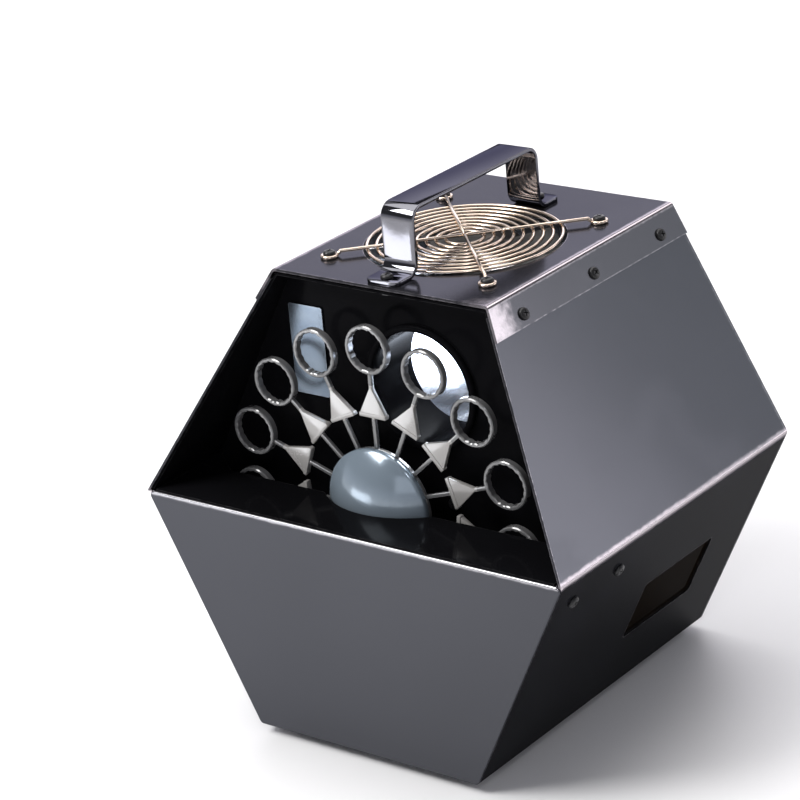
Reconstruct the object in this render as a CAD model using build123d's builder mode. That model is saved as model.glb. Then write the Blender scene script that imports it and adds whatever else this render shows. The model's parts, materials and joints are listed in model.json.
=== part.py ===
from build123d import *
import math
import os

os.makedirs("parts", exist_ok=True)

# Compact bubble machine: a hexagonal sheet-steel casing with a slanted open front,
# a wheel of bubble wands dipping in a fluid tank, an axial fan under a guard on top
# that blows through a round duct behind the wheel, and a flat strap handle.
# Millimetres, +Z up, front towards -Y, origin on the floor under the middle.

# Casing
sheet = 1.5               # steel thickness
bend = 3.0                # outer radius of the casing's folds
depth = 240.0
half_mid = 150.0          # half width at the widest fold
half_base = 80.5
half_top = 76.0
foot_height = 6.0
base_to_fold = 140.0
body_height = 275.0       # underside to top cover
window_setback = 51.0     # how far the open front leans back
rear_fittings = 5.0       # what stands out behind the back panel

base_z = foot_height
fold_z = base_z + base_to_fold
top_z = base_z + body_height
side_top_z = top_z - sheet
front_y = -(depth + rear_fittings) / 2
back_y = front_y + depth
rim = 12.0                # return flanges of front and back

# Wand wheel
wheel_x = -9.0
wheel_y = front_y + 48
wand_count = 15
wand_pitch = 96.5         # wheel centre to ring centre
ring_outer = 15.0
ring_wall = 2.6
ring_width = 5.0
wand_first = 42.0         # degrees, first wand from the right
ring_sides = 24           # rings stay light: many-sided instead of round
web = 3.0                 # thickness of disc, stems and wedges
hub_radius = 35.0
wedge_inner = 57.0
wedge_outer = 74.0
wedge_half = 9.5
shaft_radius = 3.0
running = 0.05            # radial clearance of turning fits
cap_rise = 13.0
cap_rim = 3.5

# Wall behind the wheel, air duct, drive
wall_y = front_y + 66     # front face
duct_x = 14.0
duct_z = fold_z + 70
duct_radius = 36.0
duct_wall = 1.2
duct_length = 36.0
scoop_half = 58.0
scoop_floor = 174.0
plate_x = -67.5           # bare plate over the wiring slot in the wall
plate_width = 25.0
plate_low = 198.0
plate_height = 56.5
plate_lap = 5.0           # how far it covers the wall around the slot
gearbox_radius = 28.0
gearbox_depth = 17.0
gearbox_drop = 8.0        # output shaft sits off the gearbox's middle
motor_radius = 19.0
motor_depth = 30.0
bracket_rise = 8.0
bracket_half = 42.0

# Tank
tank_wall = 2.5
tank_top = 104.0
tank_front = front_y + 3
tank_back = back_y - 24
deck_z = 108.0
pane_y = front_y + 158
pane_drop = 84.5          # down the lower side from the fold
cutout_long = 73.0
cutout_high = 44.0

# Fan and guard
fan_y = front_y + 136
fan_size = 127.0
fan_depth = 25.0
fan_pitch = 56.65         # half the screw spacing
fan_bore = 60.0
blade_tip = 58.8
rotor_hub = 24.0
blade_count = 7
blade_pitch = 30.0
guard_wire = 2.2
guard_reach = 57.6        # middle of the outermost ring
guard_rings = 8
guard_step = 6.5
guard_sides = 36          # light like the wands' rings
guard_eye = 5.2

# Handle
strap_width = 23.0
strap = 2.5
strap_rise = 41.0
strap_inner = 60.0        # fan centre to inside of a leg
strap_foot = 20.0
strap_bend = 9.0

# Rear fittings
inlet_x = -70.0
switch_x = -22.0
fitting_z = fold_z + 6
inlet_wide = 27.0         # body behind the panel
inlet_high = 35.0
inlet_deep = 22.0
inlet_border = 2.5
drawer_wide = 21.6
drawer_high = 8.2
drawer_deep = 12.0
drawer_drop = 10.5        # inlet middle to drawer middle
rocker_wide = 10.4
rocker_long = 15.8
rocker_tilt = 8.0         # degrees either way
switch_wide = 12.8
switch_high = 19.0

# Fasteners
screw = 2.0               # M4 shank
screw_hole = 2.2
screw_head = 3.8
head_sides = 12           # small repeats stay light
screw_rise = 2.2
nut_radius = 3.9
nut_rise = 3.0

low_lean = (half_mid - half_base) / base_to_fold
high_lean = (half_mid - half_top) / (side_top_z - fold_z)
window_lean = window_setback / (top_z - fold_z)


def outline(inset, top_cut=0.0):
    """Casing corners moved in by inset: top left, down and round to top right."""
    low_shift = inset * math.hypot(1, low_lean)
    high_shift = inset * math.hypot(1, high_lean)
    lift = (low_shift - high_shift) / (low_lean + high_lean)
    drop = inset + top_cut
    right = [
        (half_base + inset * low_lean - low_shift, base_z + inset),
        (half_mid + lift * low_lean - low_shift, fold_z + lift),
        (half_top + drop * high_lean - high_shift, side_top_z - drop),
    ]
    return [(-x, z) for x, z in reversed(right)] + right


def half_width(z, inset):
    """Half width of the inset outline at height z."""
    low = half_base + (z - base_z) * low_lean - inset * math.hypot(1, low_lean)
    high = half_mid - (z - fold_z) * high_lean - inset * math.hypot(1, high_lean)
    return min(low, high)


def across(y):
    """Upright plane at y, facing the front; extrusions run forwards."""
    return Plane.XZ.offset(-y)


def low_side(side, y, drop, inset=0.0):
    """Plane on a lower side panel, drop measured down the slope from the fold."""
    run = math.hypot(1, low_lean)
    x = half_mid - (drop * low_lean + inset) / run
    z = fold_z - (drop - inset * low_lean) / run
    return Plane(origin=(side * x, y, z), x_dir=(0, 1, 0), z_dir=(side / run, 0, -low_lean / run))


def high_side(side, y, drop, inset=0.0):
    """Plane on an upper side panel, drop measured down the slope from its top edge."""
    run = math.hypot(1, high_lean)
    x = half_top + (drop * high_lean - inset) / run
    z = side_top_z - (drop + inset * high_lean) / run
    return Plane(origin=(side * x, y, z), x_dir=(0, 1, 0), z_dir=(side / run, 0, high_lean / run))


def window_y(z):
    return front_y + (z - fold_z) * window_lean


def ahead(low_edge, setback):
    """Sketch of what lies ahead of the open front, to be cut away."""
    Polygon(
        (front_y - 20, 0), (low_edge, 0), (low_edge, fold_z), (front_y + setback, fold_z),
        (window_y(top_z + 20) + setback, top_z + 20), (front_y - 20, top_z + 20), align=None,
    )



def plain_heads(planes):
    """Screw heads alone, where the shank is out of sight."""
    with BuildPart() as heads:
        with BuildSketch(*planes):
            RegularPolygon(screw_head, head_sides)
        extrude(amount=screw_rise)
    return heads


def export(piece, name):
    piece.part.label = name
    export_step(piece.part, "parts/" + name + ".step")


cover_screws_at = [
    high_side(side, front_y + along, 12.5, -sheet) for side in (-1, 1) for along in (75, 145.5, 216)
]
side_screws_at = [low_side(side, front_y + along, 22) for side in (-1, 1) for along in (23, 69)]
rim_middle = sheet + rim / 2
back_screws_at = [
    Plane(origin=(side * x, back_y, z), z_dir=(0, 1, 0))
    for side in (-1, 1)
    for x, z in (
        (half_base - 25, base_z + rim_middle),
        (half_width(fold_z - 45, rim_middle), fold_z - 45),
        (half_width(fold_z + 75, rim_middle), fold_z + 75),
    )
]
guard_screws_at = [(x, fan_y + y) for x in (-fan_pitch, fan_pitch) for y in (-fan_pitch, fan_pitch)]
strap_outer = strap_inner + strap
strap_end = strap_outer + strap_foot
strap_screws_at = [fan_y - strap_end + 7, fan_y + strap_end - 7]
bracket_screws_at = [wheel_x - bracket_half + 3, wheel_x + bracket_half - 3]
feet_at = [(side * 58, y) for side in (-1, 1) for y in (front_y + 30, back_y - 30)]

# Body: sides and base folded from one sheet, with a rim for the back panel
with BuildPart() as body_wrap:
    with BuildSketch(across(back_y - sheet)):
        with BuildLine():
            FilletPolyline(*outline(0, 4), radius=bend)
            offset(amount=-sheet, side=Side.LEFT)
        make_face()
    extrude(amount=depth - sheet)
    with BuildSketch(across(back_y - sheet)):
        Polygon(*outline(0.5, 4), align=None)
        Polygon(*outline(rim + sheet, -60), align=None, mode=Mode.SUBTRACT)
    extrude(amount=sheet)
    with BuildSketch(Plane.YZ.offset(-half_mid)):
        ahead(front_y + sheet, 0)
    extrude(amount=2 * half_mid, mode=Mode.SUBTRACT)
    with BuildSketch(low_side(1, pane_y, pane_drop)):
        RectangleRounded(cutout_long, cutout_high, 2.5)
    extrude(amount=-2 * sheet, mode=Mode.SUBTRACT)
export(body_wrap, "body_wrap")

# Front panel under the window: a shallow lid with return flanges and a sill
with BuildPart() as front_panel:
    with BuildSketch(across(front_y + sheet)):
        Polygon(*outline(0)[1:5], align=None)
        fillet(vertices(), bend)
    extrude(amount=sheet)
    fillet(front_panel.faces().sort_by(Axis.Y)[0].edges(), 1)
    with BuildSketch(across(front_y + rim)):
        with BuildLine():
            flange_top = fold_z - sheet
            FilletPolyline(
                (-half_width(flange_top, sheet), flange_top), *outline(sheet)[2:4],
                (half_width(flange_top, sheet), flange_top), radius=bend - sheet,
            )
            offset(amount=-sheet, side=Side.LEFT)
        make_face()
    extrude(amount=rim - sheet)
    with BuildSketch(Plane.XY.offset(fold_z)):
        with Locations((0, front_y + rim / 2 + sheet / 2)):
            Rectangle(2 * half_width(fold_z - sheet, sheet) - 1.5, rim - sheet)
    extrude(amount=-sheet)
export(front_panel, "front_panel")

# Back panel with the cut-outs for inlet and switch
with BuildPart() as back_panel:
    with BuildSketch(across(back_y)):
        Polygon(*outline(0), align=None)
        fillet(vertices(), bend)
        with Locations((inlet_x, fitting_z)):
            Rectangle(inlet_wide, inlet_high, mode=Mode.SUBTRACT)
        with Locations((switch_x, fitting_z)):
            Rectangle(switch_wide, switch_high, mode=Mode.SUBTRACT)
    extrude(amount=sheet)
export(back_panel, "back_panel")

# Top cover: folded down over both sides
cover_edge = side_top_z - 17
with BuildPart() as top_cover:
    with BuildSketch(across(back_y)):
        with BuildLine():
            FilletPolyline(
                (-half_width(cover_edge, 0), cover_edge), outline(0)[0], outline(0)[5],
                (half_width(cover_edge, 0), cover_edge), radius=bend - sheet,
            )
            offset(amount=-sheet, side=Side.LEFT)
        make_face()
    extrude(amount=depth)
    with BuildSketch(Plane.YZ.offset(-half_mid)):
        ahead(front_y, 0)
    extrude(amount=2 * half_mid, mode=Mode.SUBTRACT)
    with BuildSketch(Plane.XY.offset(top_z)):
        with Locations((0, fan_y)):
            Circle(fan_bore)
        with Locations(*[(0, y) for y in strap_screws_at]):
            Circle(screw_hole)
    extrude(amount=-2 * sheet, mode=Mode.SUBTRACT)
export(top_cover, "top_cover")

# Liner of the wheel bay, inside both sides and under the cover
liner = 1.2
liner_low = 118.0
with BuildPart() as bay_liner:
    with BuildSketch(across(wall_y)):
        with BuildLine():
            FilletPolyline(
                (-half_width(liner_low, sheet), liner_low), outline(sheet)[1], outline(sheet)[0],
                outline(sheet)[5], outline(sheet)[4], (half_width(liner_low, sheet), liner_low),
                radius=bend - sheet,
            )
            offset(amount=-liner, side=Side.RIGHT)
        make_face()
    extrude(amount=wall_y - front_y)
    with BuildSketch(Plane.YZ.offset(-half_mid)):
        ahead(front_y + rim + 0.3, 2)
    extrude(amount=2 * half_mid, mode=Mode.SUBTRACT)
    with Locations((0, strap_screws_at[0], top_z)):
        Hole(screw_hole, 4 * sheet)
export(bay_liner, "bay_liner")

# Wall behind the wheel, its skirt hanging into the tank
wall_low = tank_top + 1
rim_low = wall_low + 12
skirt_low = 70.0
skirt_inset = 2 * sheet + tank_wall + 2
with BuildPart() as bay_wall:
    with BuildSketch(across(wall_y + sheet)):
        Polygon(*outline(sheet), align=None)
        fillet(vertices(), bend)
        with Locations((0, wall_low)):
            Rectangle(2 * half_mid, wall_low, align=(Align.CENTER, Align.MAX), mode=Mode.SUBTRACT)
        Polygon(
            (-half_width(skirt_low, skirt_inset), skirt_low),
            (half_width(skirt_low, skirt_inset), skirt_low),
            (half_width(wall_low, skirt_inset), wall_low),
            (-half_width(wall_low, skirt_inset), wall_low), align=None,
        )
        with Locations((duct_x, duct_z)):
            Circle(duct_radius, mode=Mode.SUBTRACT)
        with Locations((wheel_x, fold_z)):
            Circle(2 * shaft_radius, mode=Mode.SUBTRACT)
        with Locations((plate_x, plate_low + plate_height / 2)):
            Rectangle(plate_width - 2 * plate_lap, plate_height - 2 * plate_lap, mode=Mode.SUBTRACT)
    extrude(amount=sheet)
    with BuildSketch(across(wall_y + 6)):
        with BuildLine():
            FilletPolyline(
                (-half_width(rim_low, sheet), rim_low), outline(sheet)[1], outline(sheet)[0],
                outline(sheet)[5], outline(sheet)[4], (half_width(rim_low, sheet), rim_low),
                radius=bend,
            )
            offset(amount=-sheet, side=Side.RIGHT)
        make_face()
    extrude(amount=6 - sheet)
export(bay_wall, "bay_wall")

# Bare metal plate closing the wiring slot beside the duct
with BuildPart() as access_plate:
    with BuildSketch(across(wall_y)):
        with Locations((plate_x, plate_low + plate_height / 2)):
            RectangleRounded(plate_width, plate_height, 1.5)
    extrude(amount=liner)
export(access_plate, "access_plate")

# Air duct: a flanged tube through the wall with a rolled mouth
with BuildPart() as air_duct:
    with BuildSketch(across(wall_y + duct_length)):
        with Locations((duct_x, duct_z)):
            Circle(duct_radius)
            Circle(duct_radius - duct_wall, mode=Mode.SUBTRACT)
    extrude(amount=duct_length)
    with BuildSketch(across(wall_y)):
        with Locations((duct_x, duct_z)):
            Circle(duct_radius + 3)
            Circle(duct_radius - duct_wall, mode=Mode.SUBTRACT)
    extrude(amount=3)
    chamfer(air_duct.faces().sort_by(Axis.Y)[0].edges().sort_by(SortBy.LENGTH)[-1], 1.2)
export(air_duct, "air_duct")

# Air scoop behind the duct: turns the air blown down by the fan forwards
fan_low = side_top_z - fan_depth
with BuildPart() as air_scoop:
    scoop_front = wall_y + sheet
    scoop_back = fan_y + fan_size / 2 - 4
    for inset in (0, liner):
        floor = scoop_floor + inset
        turn = fan_low - scoop_floor - inset
        middle = scoop_back - inset - turn
        with BuildSketch(Plane.YZ.offset(inset - scoop_half)):
            with BuildLine():
                Polyline(
                    (scoop_back - inset, fan_low), (scoop_front, fan_low), (scoop_front, floor),
                    (middle, floor),
                )
                CenterArc((middle, fan_low), turn, -90, 90)
            make_face()
        extrude(amount=2 * (scoop_half - inset), mode=Mode.SUBTRACT if inset else Mode.ADD)
    with BuildSketch(across(scoop_front + liner)):
        with Locations((0, scoop_floor - 6)):
            Rectangle(80, 12)
    extrude(amount=liner)
export(air_scoop, "air_scoop")

# Shelf over the tank for the drive electronics
with BuildPart() as deck_shelf:
    deck_front = wall_y + sheet
    deck_back = back_y - 2 * sheet
    with BuildSketch(Plane.XY.offset(deck_z)):
        with Locations((0, (deck_front + deck_back) / 2)):
            Rectangle(2 * half_width(deck_z, sheet), deck_back - deck_front)
        with Locations((-90, 60)):
            Circle(9, mode=Mode.SUBTRACT)
    extrude(amount=sheet)
    with BuildSketch(across(deck_back)):
        for side in (-1, 1):
            Polygon(
                (side * half_width(deck_z, sheet), deck_z),
                (side * half_width(deck_z + 12, sheet), deck_z + 12),
                (side * half_width(deck_z + 12, 2 * sheet), deck_z + 12),
                (side * half_width(deck_z, 2 * sheet), deck_z), align=None,
            )
    extrude(amount=deck_back - wall_y - 10)
export(deck_shelf, "deck_shelf")


def tank_section(inset, top):
    """Cross-section of the tank between the slanting sides."""
    low_z = base_z + inset
    Polygon(
        (-half_width(top, inset), top), (-half_width(low_z, inset), low_z),
        (half_width(low_z, inset), low_z), (half_width(top, inset), top), align=None,
    )


# Fluid tank: open basin the full width of the casing, with a slosh weir
with BuildPart() as fluid_tank:
    inner = 2 * sheet + tank_wall
    with BuildSketch(across(tank_back)):
        tank_section(2 * sheet, tank_top)
    extrude(amount=tank_back - tank_front)
    with BuildSketch(across(tank_back - tank_wall)):
        tank_section(inner, tank_top + 5)
    extrude(amount=tank_back - tank_front - 2 * tank_wall, mode=Mode.SUBTRACT)
    with BuildSketch(across(wall_y + 20)):
        tank_section(inner - 0.5, 55)
    extrude(amount=tank_wall)
    with BuildSketch(low_side(1, pane_y, pane_drop)):
        RectangleRounded(cutout_long - 9, cutout_high - 9, 4)
    extrude(amount=-10, mode=Mode.SUBTRACT)
    with BuildSketch(Plane.XY.offset(base_z + 2 * sheet)):
        with Locations(*[(0, front_y + along) for along in (60, 120, 200)]):
            Rectangle(90, 8)
    extrude(amount=-sheet)
export(fluid_tank, "fluid_tank")

# Pane over the tank's sight opening, behind the cut-out in the side
with BuildPart() as level_window:
    with BuildSketch(low_side(1, pane_y, pane_drop, sheet)):
        RectangleRounded(cutout_long + 10, cutout_high + 10, 4)
    extrude(amount=-sheet)
export(level_window, "level_window")

# Wand wheel: hub disc, and on each stem a wedge and a ring
with BuildPart() as wand_wheel:
    with BuildSketch(across(wheel_y + web / 2)):
        with Locations((wheel_x, fold_z)):
            Circle(hub_radius)
            with PolarLocations(hub_radius - 1, wand_count, start_angle=wand_first):
                Rectangle(wand_pitch - ring_outer - hub_radius + 2, web, align=(Align.MIN, Align.CENTER))
            with PolarLocations(wedge_inner, wand_count, start_angle=wand_first):
                Polygon(
                    (0, -wedge_half), (wedge_outer - wedge_inner, 0), (0, wedge_half),
                    (-2.6, wedge_half), (-2.6, -wedge_half), align=None,
                )
    extrude(amount=web)
    with BuildSketch(across(wheel_y + ring_width / 2)):
        with Locations((wheel_x, fold_z)):
            with PolarLocations(wand_pitch, wand_count, start_angle=wand_first):
                RegularPolygon(ring_outer, ring_sides)
    extrude(amount=ring_width)
    with BuildSketch(across(wheel_y + web / 2 + 10)):
        with Locations((wheel_x, fold_z)):
            Circle(8)
    extrude(amount=10)
    with BuildSketch(across(wheel_y + ring_width)):
        with Locations((wheel_x, fold_z)):
            Circle(shaft_radius)
            with PolarLocations(wand_pitch, wand_count, start_angle=wand_first):
                RegularPolygon(ring_outer - ring_wall, ring_sides)
    extrude(amount=2 * ring_width, both=True, mode=Mode.SUBTRACT)
export(wand_wheel, "wand_wheel")


def dome(half, low, rise):
    """Arc from the axis out to half, bulging forwards by rise from low."""
    radius = (half ** 2 + rise ** 2) / (2 * rise)
    turn = math.asin(half / radius) / 2
    middle = (radius * math.sin(turn), low - rise + radius * (1 - math.cos(turn)))
    ThreePointArc((0, low - rise), middle, (half, low))


# Domed cap on the front of the hub
with BuildPart() as hub_cap:
    cap_half = hub_radius + 0.5
    cap_place = Plane(origin=(wheel_x, wheel_y - web / 2, fold_z), z_dir=(0, 0, 1))
    with BuildSketch(cap_place):
        with BuildLine():
            dome(cap_half, -cap_rim, cap_rise)
            Polyline((cap_half, -cap_rim), (cap_half, 0), (0, 0), (0, -cap_rim - cap_rise))
        make_face()
    revolve(axis=Axis((wheel_x, wheel_y, fold_z), (0, 1, 0)))
export(hub_cap, "hub_cap")

# Drip apron from the front panel back to the wheel, hollowed out around the cap
apron_half = half_mid - 6
apron_gap = 2.0
apron_back = wheel_y - ring_width / 2 - apron_gap
notch_half = cap_half + 2 * apron_gap
with BuildPart() as drip_apron:
    with BuildSketch(Plane.XY.offset(fold_z)):
        with BuildLine():
            ThreePointArc(
                (wheel_x - notch_half, apron_back),
                (wheel_x, wheel_y - web / 2 - cap_rim - cap_rise - apron_gap),
                (wheel_x + notch_half, apron_back),
            )
            Polyline(
                (wheel_x + notch_half, apron_back), (apron_half, apron_back), (apron_half, front_y + sheet),
                (-apron_half, front_y + sheet), (-apron_half, apron_back), (wheel_x - notch_half, apron_back),
            )
        make_face()
    extrude(amount=liner)
export(drip_apron, "drip_apron")

# Shaft from the hub into the gearbox
gearbox_front = wall_y + bracket_rise + 2 * sheet
with BuildPart() as wheel_shaft:
    with BuildSketch(across(gearbox_front + 12)):
        with Locations((wheel_x, fold_z)):
            Circle(shaft_radius)
    extrude(amount=gearbox_front + 12 - wheel_y + web / 2)
export(wheel_shaft, "wheel_shaft")

# Flanged bush carrying the shaft in the wall
with BuildPart() as shaft_bush:
    with BuildSketch(across(wall_y + 7)):
        with Locations((wheel_x, fold_z)):
            Circle(2 * shaft_radius)
    extrude(amount=8.5)
    with BuildSketch(across(wall_y)):
        with Locations((wheel_x, fold_z)):
            Circle(3 * shaft_radius)
    extrude(amount=sheet)
    with BuildSketch(across(wall_y + 10)):
        with Locations((wheel_x, fold_z)):
            Circle(shaft_radius + running)
    extrude(amount=20, mode=Mode.SUBTRACT)
export(shaft_bush, "shaft_bush")

# Hat-shaped bracket behind the wall, gearbox and motor on it
gear_z = fold_z - gearbox_drop
with BuildPart() as motor_bracket:
    with BuildSketch(Plane.XY.offset(fold_z - 16)):
        with BuildLine():
            foot_y = wall_y + sheet
            leg = bracket_half - 10
            Polyline(
                (wheel_x - bracket_half - 4, foot_y), (wheel_x - leg, foot_y),
                (wheel_x - leg, gearbox_front - sheet), (wheel_x + leg, gearbox_front - sheet),
                (wheel_x + leg, foot_y), (wheel_x + bracket_half + 4, foot_y),
            )
            offset(amount=-sheet, side=Side.LEFT)
        make_face()
    extrude(amount=26)
    with BuildSketch(across(gearbox_front)):
        with Locations((wheel_x, fold_z)):
            Circle(2 * shaft_radius)
    extrude(amount=20, mode=Mode.SUBTRACT)
export(motor_bracket, "motor_bracket")

with BuildPart() as motor_gearbox:
    with BuildSketch(across(gearbox_front + gearbox_depth)):
        with Locations((wheel_x, gear_z)):
            Circle(gearbox_radius)
    extrude(amount=gearbox_depth)
    with BuildSketch(across(gearbox_front)):
        with Locations((wheel_x, fold_z)):
            Circle(shaft_radius + running)
    extrude(amount=-12.5, mode=Mode.SUBTRACT)
export(motor_gearbox, "motor_gearbox")

with BuildPart() as gear_motor:
    with BuildSketch(across(gearbox_front + gearbox_depth + motor_depth)):
        with Locations((wheel_x, gear_z)):
            Circle(motor_radius)
    extrude(amount=motor_depth)
    with BuildSketch(across(gearbox_front + gearbox_depth + motor_depth)):
        with Locations((wheel_x, gear_z)):
            Circle(6)
    extrude(amount=-3)
export(gear_motor, "gear_motor")

bracket_screws = plain_heads([
    Plane(origin=(x, wall_y, fold_z), z_dir=(0, -1, 0)) for x in bracket_screws_at
])
export(bracket_screws, "bracket_screws")

# Axial fan: frame, stator, rotor
with BuildPart() as fan_frame:
    for low in (fan_low, side_top_z - 4):
        with BuildSketch(Plane.XY.offset(low)):
            with Locations((0, fan_y)):
                RectangleRounded(fan_size, fan_size, 5)
        extrude(amount=4)
    with BuildSketch(Plane.XY.offset(fan_low)):
        with Locations((0, fan_y)):
            Circle(fan_bore + 2)
    extrude(amount=fan_depth)
    with BuildSketch(Plane.XY.offset(fan_low)):
        with Locations((0, fan_y)):
            Circle(fan_bore)
    extrude(amount=fan_depth, mode=Mode.SUBTRACT)
    with BuildSketch(Plane.XY.offset(fan_low)):
        with Locations((0, fan_y)):
            Circle(rotor_hub - 2)
            Rectangle(2 * fan_bore + 1, 6, rotation=45)
            Rectangle(2 * fan_bore + 1, 6, rotation=-45)
    extrude(amount=3)
    with BuildSketch(Plane.XY.offset(fan_low)):
        with Locations((0, fan_y)):
            Circle(screw)
    extrude(amount=fan_depth - 5)
export(fan_frame, "fan_frame")

with BuildPart() as fan_stator:
    with BuildSketch(Plane.XY.offset(fan_low + 3)):
        with Locations((0, fan_y)):
            Circle(rotor_hub - 6)
            Circle(screw, mode=Mode.SUBTRACT)
    extrude(amount=10)
export(fan_stator, "fan_stator")

rotor_low = fan_low + 3.8
rotor_top = side_top_z - 2
with BuildPart() as fan_rotor:
    with BuildSketch(Plane.XY.offset(rotor_low)):
        with Locations((0, fan_y)):
            Circle(rotor_hub)
    extrude(amount=rotor_top - rotor_low)
    chamfer(fan_rotor.faces().sort_by(Axis.Z)[-1].edges(), 2)
    for blade in range(blade_count):
        angle = math.radians(blade * 360 / blade_count)
        outward = Plane(
            origin=(0, fan_y, (fan_low + side_top_z) / 2 + 1),
            x_dir=(-math.sin(angle), math.cos(angle), 0), z_dir=(math.cos(angle), math.sin(angle), 0),
        )
        for reach, chord in ((rotor_hub - 2, 18), (blade_tip + 1, 32)):
            with BuildSketch(outward.offset(reach)):
                Rectangle(chord, 1.8, rotation=blade_pitch)
        loft()
    with BuildSketch(Plane.XY.offset(rotor_low)):
        with Locations((0, fan_y)):
            Circle(blade_tip)
    extrude(amount=fan_depth, mode=Mode.INTERSECT)
    with BuildSketch(Plane.XY.offset(rotor_low)):
        with Locations((0, fan_y)):
            Circle(rotor_hub - 2)
            Circle(5, mode=Mode.SUBTRACT)
    extrude(amount=rotor_top - rotor_low - 3, mode=Mode.SUBTRACT)
    with BuildSketch(Plane.XY.offset(rotor_low)):
        with Locations((0, fan_y)):
            Circle(5)
    extrude(amount=10, mode=Mode.SUBTRACT)
    with BuildSketch(Plane.XY.offset(rotor_low)):
        with Locations((0, fan_y)):
            Circle(screw + running)
    extrude(amount=fan_depth - 8, mode=Mode.SUBTRACT)
export(fan_rotor, "fan_rotor")

# Finger guard: wire rings joined by two crossing wires with an eye at each end
with BuildPart() as fan_guard:
    with BuildSketch(Plane.XY.offset(top_z)):
        with Locations((0, fan_y)):
            for ring in range(guard_rings):
                middle = guard_reach - ring * guard_step
                RegularPolygon(middle + guard_wire / 2, guard_sides)
                RegularPolygon(middle - guard_wire / 2, guard_sides, mode=Mode.SUBTRACT)
        with Locations(*guard_screws_at):
            Circle(guard_eye)
    extrude(amount=guard_wire)
    with BuildSketch(Plane.XY.offset(top_z + guard_wire / 2)):
        with Locations((0, fan_y)):
            for turn in (45, -45):
                Rectangle(2 * (fan_pitch * math.sqrt(2) - screw_head - 0.3), guard_wire, rotation=turn)
    extrude(amount=guard_wire)
export(fan_guard, "fan_guard")

guard_screws = plain_heads([Plane(origin=(x, y, top_z + guard_wire)) for x, y in guard_screws_at])
export(guard_screws, "guard_screws")

# Carrying handle: one flat strap, feet turned out
with BuildPart() as handle_strap:
    with BuildSketch(Plane.YZ.offset(-strap_width / 2)):
        with BuildLine():
            FilletPolyline(
                (fan_y - strap_end, top_z), (fan_y - strap_inner, top_z),
                (fan_y - strap_inner, top_z + strap_rise - strap),
                (fan_y + strap_inner, top_z + strap_rise - strap),
                (fan_y + strap_inner, top_z), (fan_y + strap_end, top_z), radius=strap_bend - strap,
            )
            offset(amount=-strap, side=Side.LEFT)
        make_face()
    extrude(amount=strap_width)
    with Locations(*[(0, y, top_z + strap) for y in strap_screws_at]):
        Hole(screw_hole, 2 * strap)
export(handle_strap, "handle_strap")

with BuildPart() as handle_screws:
    with Locations(*[(0, y, top_z + strap) for y in strap_screws_at]):
        Cylinder(screw_head, screw_rise, align=(Align.CENTER, Align.CENTER, Align.MIN))
        Cylinder(screw, 10, align=(Align.CENTER, Align.CENTER, Align.MAX))
export(handle_screws, "handle_screws")

liner_under = side_top_z - sheet - liner
with BuildPart() as handle_nuts:
    for y, z in ((strap_screws_at[0], liner_under), (strap_screws_at[1], side_top_z)):
        with BuildSketch(Plane.XY.offset(z)):
            with Locations((0, y)):
                RegularPolygon(nut_radius, 6)
                Circle(screw, mode=Mode.SUBTRACT)
        extrude(amount=-nut_rise)
export(handle_nuts, "handle_nuts")

# Rocker switch
with BuildPart() as switch_body:
    with BuildSketch(across(back_y + 2)):
        with Locations((switch_x, fitting_z)):
            RectangleRounded(switch_wide + 2.4, switch_high + 2.4, 1)
    extrude(amount=2)
    with BuildSketch(across(back_y)):
        with Locations((switch_x, fitting_z)):
            Rectangle(switch_wide, switch_high)
    extrude(amount=14)
    with BuildSketch(across(back_y + 2)):
        with Locations((switch_x, fitting_z)):
            Rectangle(rocker_wide + 0.8, rocker_long + 1.8)
    extrude(amount=11, mode=Mode.SUBTRACT)
export(switch_body, "switch_body")

rocker_y = back_y - 0.6
with BuildPart() as switch_rocker:
    rocker_side = Plane(
        origin=(switch_x - rocker_wide / 2, rocker_y, fitting_z), x_dir=(0, 1, 0), z_dir=(1, 0, 0)
    )
    with BuildSketch(rocker_side):
        half = rocker_long / 2
        Polygon((4.6, -half), (2.8, 0), (4.6, half), (1.6, half), (-5, 3), (-5, -3), (1.6, -half),
                align=None, rotation=rocker_tilt)
    extrude(amount=rocker_wide)
export(switch_rocker, "switch_rocker")

# Mains inlet with a fuse drawer under the socket
drawer_z = fitting_z - drawer_drop
with BuildPart() as mains_inlet:
    with BuildSketch(across(back_y + inlet_border)):
        with Locations((inlet_x, fitting_z)):
            RectangleRounded(inlet_wide + 5, inlet_high + 5, 2)
    extrude(amount=inlet_border)
    with BuildSketch(across(back_y)):
        with Locations((inlet_x, fitting_z)):
            Rectangle(inlet_wide, inlet_high)
    extrude(amount=inlet_deep)
    with BuildSketch(across(back_y + inlet_border)):
        with Locations((inlet_x, fitting_z + 6)):
            Rectangle(24, 16.5)
            chamfer(vertices().group_by(Axis.Z)[-1], 4)
    extrude(amount=16, mode=Mode.SUBTRACT)
    with BuildSketch(across(back_y + inlet_border)):
        with Locations((inlet_x, drawer_z)):
            Rectangle(drawer_wide + 0.7, drawer_high + 0.7)
    extrude(amount=drawer_deep + inlet_border + 1.4, mode=Mode.SUBTRACT)
export(mains_inlet, "mains_inlet")

pin_floor = back_y + inlet_border - 16
with BuildPart() as inlet_pins:
    with BuildSketch(across(pin_floor + 13)):
        with Locations(*[(inlet_x + x, fitting_z + z) for x, z in ((-7, 4), (0, 8), (7, 4))]):
            Rectangle(2, 4)
    extrude(amount=13)
export(inlet_pins, "inlet_pins")

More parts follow.
